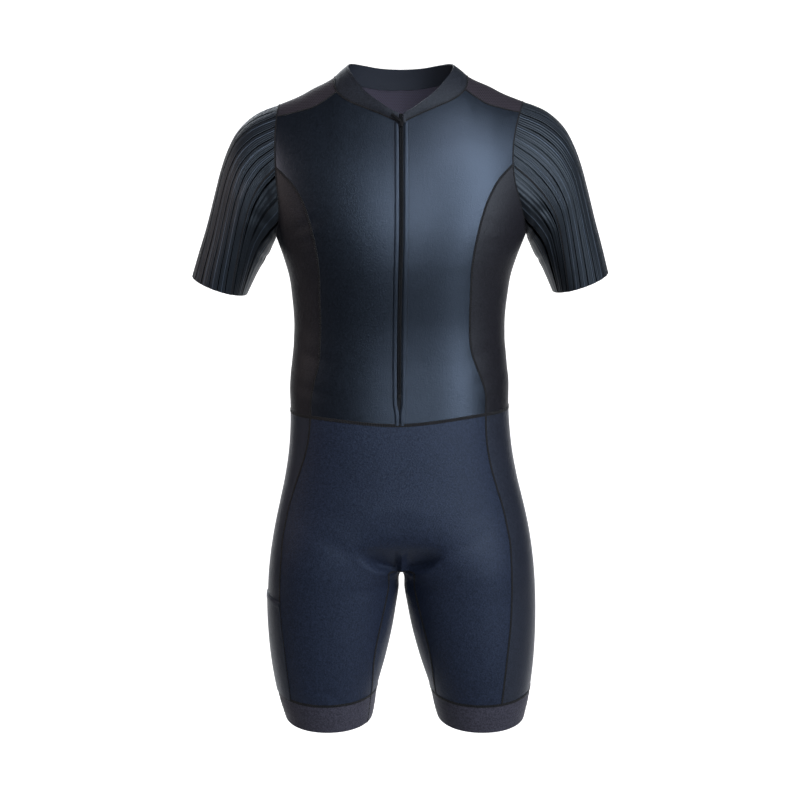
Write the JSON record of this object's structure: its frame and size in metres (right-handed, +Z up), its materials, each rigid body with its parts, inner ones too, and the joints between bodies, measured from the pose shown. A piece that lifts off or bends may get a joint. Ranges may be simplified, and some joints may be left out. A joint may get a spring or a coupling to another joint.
{
  "type": "triathlon suit",
  "caption": "Short-sleeved one-piece triathlon suit with a front zip, stand-up collar, ribbed sleeves and banded short legs, filled out as if worn.",
  "frame": {"origin": "middle of the neck between the wearer's shoulders, level with the points where the collar meets the shoulder lines, where the worn suit is held", "axes": "+X to the wearer's left, +Y to the back, +Z up"},
  "size_m": [0.5855, 0.2421, 0.9398],
  "materials": {
    "satin_cloth": "satin, dark navy",
    "matte_cloth": "matte, dark navy",
    "side_cloth": "matte, near-black grey",
    "mesh_cloth": "fine mesh, dark mauve grey",
    "ribbed_cloth": "ribbed, dark slate",
    "collar_cloth": "matte, dark slate",
    "band_cloth": "matte, dark mauve grey",
    "zip_tape_cloth": "woven, black",
    "zip_plastic": "matte, black",
    "zip_metal": "satin, black"
  },
  "bodies": {
    "suit": {"front_panel_right": "satin_cloth", "front_panel_left": "satin_cloth", "side_panel_right": "side_cloth", "side_panel_left": "side_cloth", "back_panel": "mesh_cloth", "collar": "collar_cloth", "sleeve_right": "ribbed_cloth", "sleeve_left": "ribbed_cloth", "sleeve_under_right": "ribbed_cloth", "sleeve_under_left": "ribbed_cloth", "lower_front": "matte_cloth", "lower_back": "matte_cloth", "leg_side_right": "side_cloth", "leg_side_left": "side_cloth", "gusset": "matte_cloth", "leg_pocket": "side_cloth", "leg_band_right": "band_cloth", "leg_band_left": "band_cloth", "zip_tape": "zip_tape_cloth", "zip_chain": "zip_plastic", "zip_stop": "zip_plastic", "zip_slider": "zip_metal"},
    "pull_tab": {"zip_pull": "zip_metal"}
  },
  "joints": [
    {"name": "pull_tab_hinge", "type": "hinge", "parent": "suit", "child": "pull_tab", "pos_m": [-0.0008, -0.07437, -0.05913], "axis": [0.6691, 0.3845, 0.636], "range_deg": [0, 160]}
  ]
}
